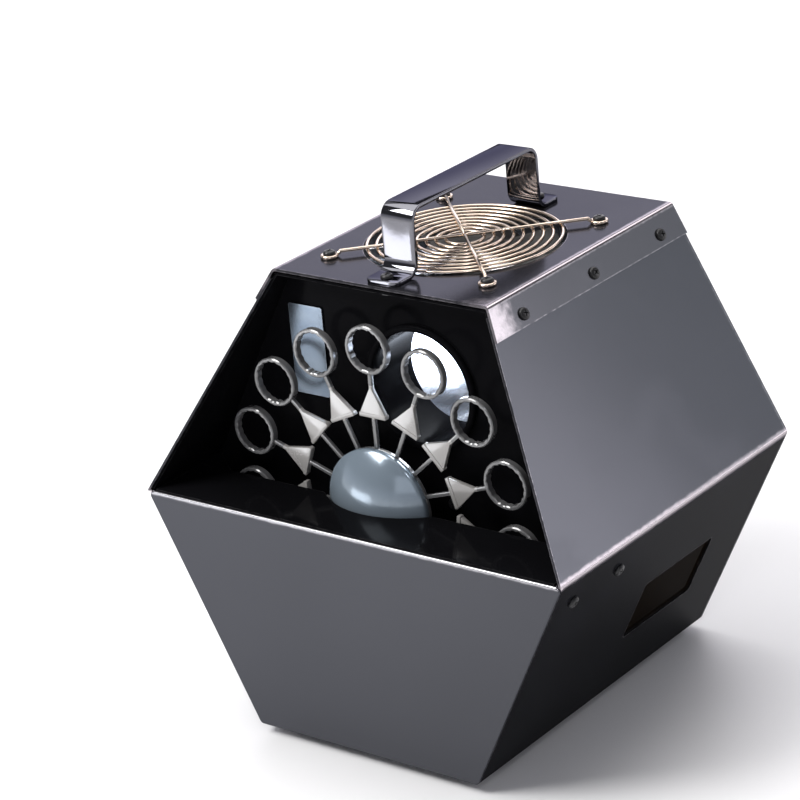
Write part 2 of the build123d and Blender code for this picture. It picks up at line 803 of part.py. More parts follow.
with BuildPart() as fuse_drawer:
    with BuildSketch(across(back_y + inlet_border + sheet)):
        with Locations((inlet_x, drawer_z)):
            RectangleRounded(drawer_wide + 2.4, drawer_high + 2, 1)
    extrude(amount=sheet)
    with BuildSketch(across(back_y + inlet_border)):
        with Locations((inlet_x, drawer_z)):
            Rectangle(drawer_wide, drawer_high)
    extrude(amount=drawer_deep + inlet_border)
    with BuildSketch(Plane.XY.offset(drawer_z + drawer_high / 2)):
        with Locations((inlet_x, back_y - 4)):
            Rectangle(20.2, 5.3)
    extrude(amount=-6, mode=Mode.SUBTRACT)
export(fuse_drawer, "fuse_drawer")

with BuildPart() as fuse:
    with BuildSketch(Plane.YZ.offset(inlet_x - 10)):
        with Locations((back_y - 4, drawer_z + drawer_high / 2 - 6 + 2.6)):
            Circle(2.6)
    extrude(amount=20)
export(fuse, "fuse")

# Driver board on standoffs
board_x = 62.0
board_y = 55.0
board_z = deck_z + sheet + 8
board_posts_at = [(board_x + x, board_y + y) for x in (-40, 40) for y in (-25, 25)]
with BuildPart() as board_standoffs:
    with BuildSketch(Plane.XY.offset(deck_z + sheet)):
        with Locations(*board_posts_at):
            RegularPolygon(3.2, 6)
    extrude(amount=8)
export(board_standoffs, "board_standoffs")

with BuildPart() as driver_board:
    with BuildSketch(Plane.XY.offset(board_z)):
        with Locations((board_x, board_y)):
            Rectangle(90, 60)
    extrude(amount=1.6)
export(driver_board, "driver_board")

with BuildPart() as board_parts:
    for x, y, wide, long, high in ((-22, 5, 32, 28, 24), (15, -17, 30, 10, 12), (22, 14, 14, 22, 18)):
        with BuildSketch(Plane.XY.offset(board_z + 1.6)):
            with Locations((board_x + x, board_y + y)):
                Rectangle(wide, long)
        extrude(amount=high)
    with BuildSketch(Plane.XY.offset(board_z + 1.6)):
        with Locations((board_x + 4, board_y + 8), (board_x + 37, board_y + 2)):
            Circle(6)
    extrude(amount=20)
export(board_parts, "board_parts")

# Rubber feet
with BuildPart() as rubber_feet:
    with BuildSketch(Plane.XY):
        with Locations(*feet_at):
            Circle(10)
    extrude(amount=foot_height)
export(rubber_feet, "rubber_feet")

cover_screws = plain_heads(cover_screws_at)
export(cover_screws, "cover_screws")
side_screws = plain_heads(side_screws_at)
export(side_screws, "side_screws")
back_screws = plain_heads(back_screws_at)
export(back_screws, "back_screws")
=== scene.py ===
import json
import math

import bmesh
import bpy
import numpy as np
from mathutils import Matrix, Vector


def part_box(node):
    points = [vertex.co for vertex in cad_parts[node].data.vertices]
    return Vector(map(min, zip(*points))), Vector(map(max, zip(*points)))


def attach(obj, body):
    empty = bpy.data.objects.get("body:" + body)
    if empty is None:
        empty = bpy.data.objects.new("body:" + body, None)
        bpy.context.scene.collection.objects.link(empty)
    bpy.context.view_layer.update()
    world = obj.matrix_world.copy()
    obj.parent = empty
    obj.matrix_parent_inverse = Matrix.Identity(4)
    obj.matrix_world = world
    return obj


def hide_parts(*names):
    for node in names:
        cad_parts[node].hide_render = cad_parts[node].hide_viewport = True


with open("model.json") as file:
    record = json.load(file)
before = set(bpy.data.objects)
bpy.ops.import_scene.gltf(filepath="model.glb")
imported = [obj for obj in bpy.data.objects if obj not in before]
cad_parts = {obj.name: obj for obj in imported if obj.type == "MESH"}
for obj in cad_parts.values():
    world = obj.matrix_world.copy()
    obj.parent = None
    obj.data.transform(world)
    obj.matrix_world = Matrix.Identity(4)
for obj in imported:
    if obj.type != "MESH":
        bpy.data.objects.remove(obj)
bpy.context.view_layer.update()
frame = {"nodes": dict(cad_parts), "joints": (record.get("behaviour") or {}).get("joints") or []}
nodes = frame["nodes"]
joints = {joint["name"]: joint for joint in frame["joints"]}
wheelCentre = Vector(joints["wheel_spin"]["pos_m"])
print("stage: frame loaded,", len(nodes), "parts")


# camera, floor and lights

cameraSetup = {
    "place": (1.0775, -1.3895, 0.9018),
    "right": (0.7955, 0.5996, -0.087),
    "up": (-0.1629, 0.3499, 0.9225),
    "lens": 144, "sensor": 36, "farClip": 60,
}

floorSetup = {
    "half": 9.0, "colour": (0.88, 0.88, 0.885), "fleck": (0.85, 0.85, 0.855), "roughness": (0.5, 0.62),
    "driftScale": 3, "smudgeScale": 4, "glowFrom": 1.3, "glowTo": 4.0, "glow": 0.75,
}

worldSetup = {"colour": (0.62, 0.62, 0.68), "strength": 0.16, "horizon": 1.1, "fade": 0.24}

# place, aim, width, height, watts, colour
softboxes = {
    "topSoft": ((-0.6, 0.4, 2.6), (-0.3, 0.2, 0), 2.8, 2.8, 60, (1.0, 0.99, 0.98)),
    "mainSoft": ((-1.2, -1.5, 2.2), (0, 0, 0.1), 1.3, 1.1, 66, (1.0, 0.99, 0.98)),
    "backCard": ((-1.5, 1.9, 1.08), (0, 0, 0.25), 1.8, 1.0, 9.5, (0.92, 0.9, 1.0)),
    "sideCard": ((1.93, 1.62, 0.9), (0.115, -0.05, 0.2), 0.74, 0.9, 4.3, (0.97, 0.95, 1.0)),
    "sideFill": ((1.35, 2.3, 0.8), (0.115, 0, 0.2), 1.0, 1.0, 2.3, (0.92, 0.96, 1.0)),
    "foldStrip": ((1.9, 2.2, 0.2), (0.15, 0, 0.15), 1.9, 0.12, 3.0, (1.0, 0.93, 0.96)),
    "ridgeCard": ((0.05, 1.8, 2.0), (0.05, 0, 0.28), 0.9, 1.5, 10, (1.0, 0.95, 0.97)),
    "lowCard": ((-0.375, -0.515, 0.09), (0, -0.0465, 0.3), 0.3, 0.1, 0.4, (0.94, 0.96, 1.0)),
    "rightCard": ((2.3, -0.1, 1.5), (0.1, 0, 0.2), 1.6, 1.3, 3.6, (0.95, 0.95, 1.0)),
    "leftCard": ((-2.3, 0.6, 1.5), (-0.1, 0, 0.2), 1.6, 1.3, 3.6, (0.95, 0.95, 1.0)),
    "farCard": ((-0.6, 2.15, 0.95), (0, 0, 0.25), 1.0, 0.8, 3.0, (0.95, 0.95, 1.0)),
    "nearCard": ((0.79, -2.16, 0.87), (0, 0, 0.25), 1.2, 0.8, 3.2, (0.95, 0.95, 1.0)),
    "keyBox": ((1.15, -1.5, 1.75), (0, -0.05, 0.18), 0.3, 0.3, 4, (0.95, 0.95, 1.0)),
    "fanGlow": ((0, 0.013, 0.252), (0, 0, 0.17), 0.09, 0.06, 0.28, (0.86, 0.92, 1.0)),
}


def link(thing):
    bpy.context.scene.collection.objects.link(thing)
    return thing


def addCamera():
    right, up = Vector(cameraSetup["right"]).normalized(), Vector(cameraSetup["up"])
    back = right.cross(up).normalized()
    data = bpy.data.cameras.new("viewCamera")
    data.lens, data.sensor_width = cameraSetup["lens"], cameraSetup["sensor"]
    data.clip_end = cameraSetup["farClip"]
    camera = link(bpy.data.objects.new("viewCamera", data))
    turn = Matrix((right, back.cross(right), back)).transposed().to_4x4()
    camera.matrix_world = Matrix.Translation(cameraSetup["place"]) @ turn
    bpy.context.scene.camera = camera


def addSoftbox(name, place, aim, wide, high, watts, colour):
    data = bpy.data.lights.new(name, "AREA")
    data.shape, data.size, data.size_y = "RECTANGLE", wide, high
    data.energy, data.color = watts, colour
    lamp = link(bpy.data.objects.new(name, data))
    lamp.location = place
    lamp.rotation_mode = "QUATERNION"
    lamp.rotation_quaternion = (Vector(aim) - Vector(place)).to_track_quat("-Z", "Y")


def addWorld():
    world = bpy.data.worlds.new("studio")
    bpy.context.scene.world = world
    world.use_nodes = True
    tree = world.node_tree
    sky = tree.nodes["Background"]
    sky.inputs["Color"].default_value = (*worldSetup["colour"], 1)
    # the backdrop is brightest low down
    split = addNode(tree, "SeparateXYZ")
    tree.links.new(addNode(tree, "TexCoord").outputs["Generated"], split.inputs[0])
    height = mathNode(tree, "ABSOLUTE", split.outputs["Z"])
    level = rampNode(tree, height, 0.0, worldSetup["fade"], worldSetup["horizon"], worldSetup["strength"])
    tree.links.new(level, sky.inputs["Strength"])


# shader groups shared by the finishes

def newGroup(name, inputs, outputs):
    group = bpy.data.node_groups.new(name, "ShaderNodeTree")
    for label, value in inputs.items():
        socket = group.interface.new_socket(name=label, in_out="INPUT", socket_type="NodeSocketFloat")
        socket.default_value = value
    for label in outputs:
        group.interface.new_socket(name=label, in_out="OUTPUT", socket_type="NodeSocketFloat")
    return group, group.nodes.new("NodeGroupInput").outputs, group.nodes.new("NodeGroupOutput").inputs


def addNode(tree, kind, **settings):
    node = tree.nodes.new("ShaderNode" + kind)
    for key, value in settings.items():
        setattr(node, key, value)
    return node


def mathNode(tree, operation, first, second=None, clamp=False):
    node = addNode(tree, "Math", operation=operation, use_clamp=clamp)
    for socket, value in zip(node.inputs, (first, second)):
        if value is None:
            continue
        if isinstance(value, (int, float)):
            socket.default_value = value
        else:
            tree.links.new(value, socket)
    return node.outputs[0]


def noiseNode(tree, scale, detail, place=None, distortion=0.0):
    node = addNode(tree, "TexNoise")
    node.inputs["Detail"].default_value = detail
    node.inputs["Distortion"].default_value = distortion
    if isinstance(scale, (int, float)):
        node.inputs["Scale"].default_value = scale
    else:
        tree.links.new(scale, node.inputs["Scale"])
    if place is None:
        place = addNode(tree, "TexCoord").outputs["Object"]
    tree.links.new(place, node.inputs["Vector"])
    return node.outputs["Fac"]


def rampNode(tree, value, low, high, outLow=0.0, outHigh=1.0):
    node = addNode(tree, "MapRange", interpolation_type="SMOOTHSTEP")
    tree.links.new(value, node.inputs["Value"])
    for label, limit in (("From Min", low), ("From Max", high), ("To Min", outLow), ("To Max", outHigh)):
        if isinstance(limit, (int, float)):
            node.inputs[label].default_value = limit
        else:
            tree.links.new(limit, node.inputs[label])
    return node.outputs["Result"]


def edgeWearAndHighlightGroup():
    # corners made lighter, broken up by noise: worn edges, and on the sprayed sheets and the wands also a
    # painted highlight
    group, given, out = newGroup("edgeWearAndHighlightMask", {"Radius": 0.0009, "Scale": 260, "Amount": 0.5}, ["Mask"])
    bevel = addNode(group, "Bevel", samples=6)
    group.links.new(given["Radius"], bevel.inputs["Radius"])
    flat = addNode(group, "NewGeometry").outputs["Normal"]
    meet = addNode(group, "VectorMath", operation="DOT_PRODUCT")
    group.links.new(bevel.outputs[0], meet.inputs[0])
    group.links.new(flat, meet.inputs[1])
    corner = rampNode(group, mathNode(group, "SUBTRACT", 1.0, meet.outputs["Value"]), 0.02, 0.22)
    patchy = rampNode(group, noiseNode(group, given["Scale"], 4), 0.3, 0.62)
    mask = mathNode(group, "MULTIPLY", corner, patchy)
    group.links.new(mathNode(group, "MULTIPLY", mask, given["Amount"], clamp=True), out["Mask"])
    return group


def smudgeGroup():
    # handling marks: broad dull patches with fine swirls inside them
    group, given, out = newGroup("smudges", {"Scale": 22, "Low": 0.2, "High": 0.4}, ["Roughness"])
    broad = noiseNode(group, given["Scale"], 3, distortion=0.8)
    fine = noiseNode(group, mathNode(group, "MULTIPLY", given["Scale"], 14.0), 2, distortion=2.2)
    patch = rampNode(group, broad, 0.42, 0.7)
    mark = mathNode(group, "MULTIPLY", patch, rampNode(group, fine, 0.35, 0.65, 0.55, 1.0))
    group.links.new(rampNode(group, mark, 0.0, 1.0, given["Low"], given["High"]), out["Roughness"])
    return group


def dustGroup():
    # dust lies on what faces up
    group, given, out = newGroup("settledDust", {"Scale": 55, "Amount": 0.2}, ["Mask"])
    split = addNode(group, "SeparateXYZ")
    group.links.new(addNode(group, "NewGeometry").outputs["Normal"], split.inputs[0])
    upward = rampNode(group, split.outputs["Z"], 0.35, 0.95)
    fine = mathNode(group, "MULTIPLY", given["Scale"], 22.0)
    specks = rampNode(group, noiseNode(group, fine, 2), 0.55, 0.72)
    film = rampNode(group, noiseNode(group, given["Scale"], 4), 0.3, 0.75, 0.15, 0.6)
    mask = mathNode(group, "MULTIPLY", upward, mathNode(group, "MAXIMUM", film, specks))
    group.links.new(mathNode(group, "MULTIPLY", mask, given["Amount"], clamp=True), out["Mask"])
    return group


def grainGroup():
    # orange peel of sprayed paint, or the skin of a moulding
    group, given, out = newGroup("fineGrain", {"Scale": 900, "Roughen": 0.5}, ["Height"])
    soft = noiseNode(group, given["Scale"], 1)
    hard = noiseNode(group, mathNode(group, "MULTIPLY", given["Scale"], 3.1), 3)
    rough = mathNode(group, "MULTIPLY", hard, given["Roughen"])
    group.links.new(mathNode(group, "ADD", soft, rough), out["Height"])
    return group


def driftGroup():
    # slow change of tone over a whole panel
    group, given, out = newGroup("toneDrift", {"Scale": 7}, ["Mask"])
    group.links.new(rampNode(group, noiseNode(group, given["Scale"], 2), 0.3, 0.7), out["Mask"])
    return group


def brushGroup():
    # lines of brushing or rolling, stretched along one axis
    inputs = {"Scale": 500, "StretchX": 0.04, "StretchY": 1.0, "StretchZ": 1.0}
    group, given, out = newGroup("brushLines", inputs, ["Mask", "Height"])
    stretch = addNode(group, "CombineXYZ")
    for axis in "XYZ":
        group.links.new(given["Stretch" + axis], stretch.inputs[axis])
    scaled = addNode(group, "VectorMath", operation="MULTIPLY")
    group.links.new(addNode(group, "TexCoord").outputs["Object"], scaled.inputs[0])
    group.links.new(stretch.outputs[0], scaled.inputs[1])
    lines = noiseNode(group, given["Scale"], 5, place=scaled.outputs[0])
    group.links.new(rampNode(group, lines, 0.35, 0.65), out["Mask"])
    group.links.new(lines, out["Height"])
    return group


def highlightSpotGroup():
    # a painted highlight: a bright patch round one corner, ragged at its edge
    inputs = {"MiddleX": 0.0, "MiddleY": 0.0, "MiddleZ": 0.0, "Radius": 0.01}
    group, given, out = newGroup("spotHighlight", inputs, ["Mask"])
    middle = addNode(group, "CombineXYZ")
    for axis in "XYZ":
        group.links.new(given["Middle" + axis], middle.inputs[axis])
    apart = addNode(group, "VectorMath", operation="DISTANCE")
    group.links.new(addNode(group, "TexCoord").outputs["Object"], apart.inputs[0])
    group.links.new(middle.outputs[0], apart.inputs[1])
    share = mathNode(group, "DIVIDE", apart.outputs["Value"], given["Radius"])
    ragged = mathNode(group, "ADD", share, mathNode(group, "MULTIPLY", noiseNode(group, 190, 3), 0.8))
    group.links.new(rampNode(group, ragged, 0.7, 1.5, 1.0, 0.0), out["Mask"])
    return group


def splitPlace(tree):
    split = addNode(tree, "SeparateXYZ")
    tree.links.new(addNode(tree, "TexCoord").outputs["Object"], split.inputs[0])
    return split.outputs


def lengthOf(tree, first, second):
    squares = [mathNode(tree, "POWER", side, 2.0) for side in (first, second)]
    return mathNode(tree, "SQRT", mathNode(tree, "ADD", *squares))


def bandGroup():
    # a ring round an axis along Y
    inputs = {"MiddleX": 0.0, "MiddleZ": 0.0, "Low": 0.0, "High": 1.0}
    group, given, out = newGroup("band", inputs, ["Mask"])
    place = splitPlace(group)
    sides = [mathNode(group, "SUBTRACT", place[axis], given["Middle" + axis]) for axis in "XZ"]
    reach = lengthOf(group, *sides)
    above = mathNode(group, "GREATER_THAN", reach, given["Low"])
    below = mathNode(group, "LESS_THAN", reach, given["High"])
    group.links.new(mathNode(group, "MULTIPLY", above, below), out["Mask"])
    return group


def foldHighlightGroup():
    # a painted highlight along a straight fold at one height, left and right or front and back
    inputs = {"Half": 0.1, "Height": 0.1, "Reach": 0.002, "Amount": 0.5, "AcrossY": 0.0}
    group, given, out = newGroup("foldHighlight", inputs, ["Mask"])
    place = splitPlace(group)
    swap = mathNode(group, "SUBTRACT", place["Y"], place["X"])
    turn = mathNode(group, "MULTIPLY", swap, given["AcrossY"])
    across = mathNode(group, "ABSOLUTE", mathNode(group, "ADD", place["X"], turn))
    apart = lengthOf(group, mathNode(group, "SUBTRACT", across, given["Half"]),
                     mathNode(group, "SUBTRACT", place["Z"], given["Height"]))
    share = mathNode(group, "DIVIDE", apart, given["Reach"])
    ragged = mathNode(group, "ADD", share, mathNode(group, "MULTIPLY", noiseNode(group, 240, 3), 0.7))
    mask = rampNode(group, ragged, 0.8, 1.6, 1.0, 0.0)
    group.links.new(mathNode(group, "MULTIPLY", mask, given["Amount"]), out["Mask"])
    return group


groups = {
    "edgeWearAndHighlight": edgeWearAndHighlightGroup(), "fold": foldHighlightGroup(), "highlightSpots": highlightSpotGroup(), "band": bandGroup(),
    "smudge": smudgeGroup(), "dust": dustGroup(), "grain": grainGroup(), "drift": driftGroup(),
    "brush": brushGroup(),
}


def placeGroup(tree, name, **values):
    node = tree.nodes.new("ShaderNodeGroup")
    node.node_tree = groups[name]
    for label, value in values.items():
        node.inputs[label].default_value = value
    return node.outputs


def mixColour(tree, mask, first, second):
    node = addNode(tree, "Mix", data_type="RGBA")
    tree.links.new(mask, node.inputs["Factor"])
    for socket, value in ((node.inputs[6], first), (node.inputs[7], second)):  # A and B as colours
        if isinstance(value, tuple):
            socket.default_value = (*value, 1)
        else:
            tree.links.new(value, socket)
    return node.outputs[2]


# what a look has when it says nothing else
usual = {"driftScale": 7, "smudgeScale": 22, "edgeMaskRadius": 0.0008, "roughen": 0.4, "folds": (), "highlightSpots": ()}

# numbers that a look sets straight on the shader
plainSockets = {
    "metallic": "Metallic", "coat": "Coat Weight", "coatRoughness": "Coat Roughness",
    "specular": "Specular IOR Level", "clear": "Transmission Weight", "ior": "IOR",
}
dustColour = (0.42, 0.41, 0.39)
bumpDistance = 0.0002


def newMaterial(name):
    material = bpy.data.materials.new(name)
    material.use_nodes = True
    tree = material.node_tree
    return material, tree, tree.nodes["Principled BSDF"]


def setPlain(shader, look):
    for key, label in plainSockets.items():
        if key in look:
            shader.inputs[label].default_value = look[key]


def addBump(tree, shader, height, strength):
    bump = addNode(tree, "Bump")
    bump.inputs["Strength"].default_value = strength
    bump.inputs["Distance"].default_value = bumpDistance
    tree.links.new(height, bump.inputs["Height"])
    tree.links.new(bump.outputs[0], shader.inputs["Normal"])


def makeFinish(name, look):
    # one opaque finish from its dictionary
    look = {**usual, **look}
    material, tree, shader = newMaterial(name)
    drift = placeGroup(tree, "drift", Scale=look["driftScale"])
    colour = mixColour(tree, drift["Mask"], look["colour"], look["second"])
    brush = None
    if "brush" in look:
        x, y, z = look["brush"]
        brush = placeGroup(tree, "brush", Scale=look["brushScale"], StretchX=x, StretchY=y, StretchZ=z)
        colour = mixColour(tree, brush["Mask"], colour, look["brushColour"])
    # edge colour: worn edges, and on the sprayed sheets and the wands also a painted highlight
    edgeWearAndHighlight = placeGroup(tree, "edgeWearAndHighlight", Radius=look["edgeMaskRadius"], Amount=look["edgeWearAndHighlight"])
    colour = mixColour(tree, edgeWearAndHighlight["Mask"], colour, look["wornAndHighlightColour"])
    # painted highlight lines along the sheets' folds
    for half, height, reach, amount, acrossY in look["folds"]:
        fold = placeGroup(tree, "fold", Half=half, Height=height, Reach=reach, Amount=amount,
                          AcrossY=acrossY)
        colour = mixColour(tree, fold["Mask"], colour, look["highlightColour"])
    # painted highlight patches where a look lists them
    for x, y, z, radius in look["highlightSpots"]:
        highlightSpots = placeGroup(tree, "highlightSpots", MiddleX=x, MiddleY=y, MiddleZ=z, Radius=radius)
        colour = mixColour(tree, highlightSpots["Mask"], colour, look["highlightColour"])
    if "band" in look:
        x, z, low, high = look["band"]
        band = placeGroup(tree, "band", MiddleX=x, MiddleZ=z, Low=low, High=high)
        colour = mixColour(tree, band["Mask"], colour, look["bandColour"])
    dust = placeGroup(tree, "dust", Amount=look["dust"])
    colour = mixColour(tree, dust["Mask"], colour, dustColour)
    tree.links.new(colour, shader.inputs["Base Color"])
    low, high = look["roughness"]
    smudge = placeGroup(tree, "smudge", Scale=look["smudgeScale"], Low=low, High=high)
    dull = mathNode(tree, "MULTIPLY", dust["Mask"], 0.5)
    tree.links.new(mathNode(tree, "ADD", smudge["Roughness"], dull, clamp=True), shader.inputs["Roughness"])
    grain = placeGroup(tree, "grain", Scale=look["grainScale"], Roughen=look["roughen"])
    addBump(tree, shader, (brush or grain)["Height"], look["bump"])
    setPlain(shader, look)
    if "edgeTint" in look:
        shader.inputs["Specular Tint"].default_value = (*look["edgeTint"], 1)
    return material


def makeClear(name, look):
    # glass or clear plastic, tinted, with a faint film of smudges
    material, tree, shader = newMaterial(name)
    drift = placeGroup(tree, "drift", Scale=look["driftScale"])
    tint = mixColour(tree, drift["Mask"], look["colour"], look["second"])
    tree.links.new(tint, shader.inputs["Base Color"])
    low, high = look["roughness"]
    smudge = placeGroup(tree, "smudge", Scale=look["smudgeScale"], Low=low, High=high)
    tree.links.new(smudge["Roughness"], shader.inputs["Roughness"])
    grain = placeGroup(tree, "grain", Scale=look["grainScale"], Roughen=look["roughen"])
    addBump(tree, shader, grain["Height"], look["bump"])
    setPlain(shader, look)
    return material


# what the sprayed sheets have in common
sprayed = {
    "metallic": 0.94, "roughness": (0.16, 0.22), "coat": 0.1, "coatRoughness": 0.12, "dust": 0.05,
    "grainScale": 700, "bump": 0.03, "driftScale": 4, "smudgeScale": 14,
}
# and what the blacks inside the bay have in common
deepBlack = {
    "colour": (0.003, 0.003, 0.0035), "second": (0.005, 0.005, 0.006), "wornAndHighlightColour": (0.1, 0.1, 0.1), "dust": 0.0,
}

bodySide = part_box("body_wrap")[1].x
frontLow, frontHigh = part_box("front_panel")
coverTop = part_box("top_cover")[1].z
foldIn = 0.0002  # a fold's round edge lies this far in from the sheets' faces

# folds: painted highlight lines along folds, given as half width, height, reach, amount, and whether it runs
# front and back
# painted highlight spots: a corner's place and reach; band: middle x and z, inner and outer radius
looks = {
    # its light edges and the line along the side fold are a painted highlight, with worn paint on the edges
    # as well
    "gunmetalPaint": {
        **sprayed, "colour": (0.108, 0.111, 0.125), "second": (0.117, 0.12, 0.135),
        "edgeTint": (0.15, 0.15, 0.16), "edgeWearAndHighlight": 0.7, "wornAndHighlightColour": (0.7, 0.66, 0.68), "edgeMaskRadius": 0.001,
        "folds": ((bodySide, wheelCentre.z, 0.003, 0.7, 0),), "highlightColour": (0.72, 0.66, 0.69),
    },
    # the body's gunmetal paint made darker for the front panel: painted shade; its light edges and top fold
    # line are a painted highlight
    "shadedFrontPaint": {
        **sprayed, "colour": (0.063, 0.065, 0.074), "second": (0.07, 0.072, 0.082),
        "edgeTint": (0.3, 0.3, 0.32), "edgeWearAndHighlight": 0.55, "wornAndHighlightColour": (0.62, 0.6, 0.62), "edgeMaskRadius": 0.0007,
        "folds": ((-frontLow.y - foldIn, frontHigh.z - foldIn, 0.0018, 0.6, 1),),
        "highlightColour": (0.6, 0.59, 0.62),
    },
    # the body's gunmetal paint made lighter for the top cover: painted light; its light edges, side fold line
    # and front flange corners are a painted highlight
    "lightenedCoverPaint": {
        **sprayed, "colour": (0.128, 0.128, 0.142), "second": (0.138, 0.138, 0.152),
        "edgeTint": (0.3, 0.3, 0.32), "edgeWearAndHighlight": 0.8, "wornAndHighlightColour": (0.7, 0.66, 0.68), "edgeMaskRadius": 0.0016,
        "highlightSpots": ((0.0795, -0.076, 0.272, 0.023), (-0.0795, -0.076, 0.272, 0.006)),
        "folds": ((0.0762, coverTop - foldIn, 0.0026, 0.7, 0),), "highlightColour": (0.72, 0.66, 0.69),
    },
    "apronBlack": {
        **deepBlack, "roughness": (0.08, 0.16), "edgeWearAndHighlight": 0.3, "grainScale": 500, "bump": 0.02,
        "smudgeScale": 26, "specular": 0.015,
    },
    "blueZinc": {
        "colour": (0.138, 0.165, 0.196), "second": (0.112, 0.138, 0.174), "metallic": 1.0,
        "roughness": (0.22, 0.36), "edgeWearAndHighlight": 0.4, "wornAndHighlightColour": (0.6, 0.62, 0.66), "dust": 0.03, "driftScale": 60,
        "grainScale": 350, "bump": 0.1,
    },
    "glossBlack": {
        **deepBlack, "roughness": (0.14, 0.26), "edgeWearAndHighlight": 0.25, "grainScale": 600, "bump": 0.03,
        "smudgeScale": 18, "specular": 0.006,
    },
    "polishedAlloy": {
        "colour": (0.82, 0.84, 0.88), "second": (0.76, 0.78, 0.83), "metallic": 1.0,
        "roughness": (0.16, 0.3), "edgeWearAndHighlight": 0.3, "wornAndHighlightColour": (0.95, 0.95, 0.95), "dust": 0.05,
        "brush": (1.0, 0.03, 1.0), "brushScale": 420, "brushColour": (0.66, 0.69, 0.76), "grainScale": 500,
        "bump": 0.12,
    },
    "zincSheet": {
        "colour": (0.62, 0.63, 0.64), "second": (0.54, 0.55, 0.57), "metallic": 1.0,
        "roughness": (0.24, 0.4), "edgeWearAndHighlight": 0.3, "wornAndHighlightColour": (0.85, 0.85, 0.85), "dust": 0.12, "driftScale": 45,
        "grainScale": 350, "bump": 0.1,
    },
    "tankPlastic": {
        "colour": (0.007, 0.007, 0.0075), "second": (0.011, 0.011, 0.0115), "roughness": (0.16, 0.3),
        "edgeWearAndHighlight": 0.3, "wornAndHighlightColour": (0.09, 0.09, 0.09), "dust": 0.01, "grainScale": 900, "bump": 0.08, "coat": 0.2,
        "coatRoughness": 0.1,
    },
    # the light edges from the edge colour are a painted highlight on the rings and wedges, with some real
    # wear
    "wandPlastic": {
        "colour": (0.1, 0.1, 0.102), "second": (0.13, 0.13, 0.132), "roughness": (0.16, 0.3), "edgeWearAndHighlight": 0.7,
        "wornAndHighlightColour": (0.4, 0.39, 0.38), "edgeMaskRadius": 0.0007, "dust": 0.0, "grainScale": 800, "bump": 0.05,
        "coat": 0.7, "coatRoughness": 0.08, "specular": 0.7,
        "band": (wheelCentre.x, wheelCentre.z, 0.0535, 0.0745), "bandColour": (0.28, 0.272, 0.262),
    },
    "capPlastic": {
        "colour": (0.21, 0.26, 0.308), "second": (0.24, 0.288, 0.33), "roughness": (0.16, 0.26),
        "edgeWearAndHighlight": 0.3, "wornAndHighlightColour": (0.4, 0.44, 0.48), "dust": 0.0, "grainScale": 700, "bump": 0.03, "coat": 0.18,
        "coatRoughness": 0.06, "metallic": 0.35,
    },
    "groundSteel": {
        "colour": (0.6, 0.6, 0.61), "second": (0.52, 0.52, 0.54), "metallic": 1.0, "roughness": (0.2, 0.32),
        "edgeWearAndHighlight": 0.3, "wornAndHighlightColour": (0.8, 0.8, 0.8), "dust": 0.03, "grainScale": 900, "bump": 0.06,
    },
    "turnedBrass": {
        "colour": (0.7, 0.5, 0.22), "second": (0.6, 0.42, 0.18), "metallic": 1.0, "roughness": (0.2, 0.34),
        "edgeWearAndHighlight": 0.3, "wornAndHighlightColour": (0.9, 0.75, 0.45), "dust": 0.05, "grainScale": 900, "bump": 0.05,
    },
    "warmWire": {
        "colour": (0.8, 0.66, 0.54), "second": (0.72, 0.6, 0.5), "metallic": 1.0, "roughness": (0.14, 0.24),
        "edgeWearAndHighlight": 0.2, "wornAndHighlightColour": (0.95, 0.9, 0.85), "dust": 0.06, "grainScale": 1500, "bump": 0.04,
    },
    "mirrorDark": {
        "colour": (0.17, 0.17, 0.19), "second": (0.19, 0.19, 0.21), "edgeTint": (0.25, 0.25, 0.28),
        "metallic": 1.0, "roughness": (0.05, 0.12), "edgeWearAndHighlight": 0.5, "wornAndHighlightColour": (0.8, 0.78, 0.76),
        "edgeMaskRadius": 0.0005, "dust": 0.04, "grainScale": 300, "bump": 0.02, "smudgeScale": 30,
    },
    "blackZinc": {
        "colour": (0.01, 0.01, 0.011), "second": (0.018, 0.018, 0.019), "metallic": 0.3,
        "roughness": (0.28, 0.42), "edgeWearAndHighlight": 0.5, "wornAndHighlightColour": (0.26, 0.26, 0.26), "edgeMaskRadius": 0.0003,
        "dust": 0.03, "grainScale": 1600, "bump": 0.08,
    },
    "mouldedBlack": {
        "colour": (0.016, 0.016, 0.018), "second": (0.022, 0.022, 0.024), "roughness": (0.42, 0.58),
        "edgeWearAndHighlight": 0.35, "wornAndHighlightColour": (0.1, 0.1, 0.1), "dust": 0.2, "grainScale": 1300, "roughen": 1.0, "bump": 0.3,
    },
    "footRubber": {
        "colour": (0.016, 0.016, 0.016), "second": (0.026, 0.026, 0.025), "roughness": (0.7, 0.88),
        "edgeWearAndHighlight": 0.4, "wornAndHighlightColour": (0.09, 0.09, 0.085), "dust": 0.3, "grainScale": 1100, "roughen": 1.4,
        "bump": 0.5,
    },
    "rockerPlastic": {
        "colour": (0.015, 0.015, 0.016), "second": (0.02, 0.02, 0.021), "roughness": (0.14, 0.26),
        "edgeWearAndHighlight": 0.3, "wornAndHighlightColour": (0.1, 0.1, 0.1), "dust": 0.1, "grainScale": 900, "bump": 0.05, "coat": 0.4,
        "coatRoughness": 0.08,
    },
    "boardMask": {
        "colour": (0.012, 0.09, 0.04), "second": (0.02, 0.13, 0.055), "roughness": (0.25, 0.4), "edgeWearAndHighlight": 0.4,
        "wornAndHighlightColour": (0.4, 0.35, 0.15), "dust": 0.15, "grainScale": 700, "bump": 0.12, "coat": 0.4,
        "coatRoughness": 0.2,
    },
}

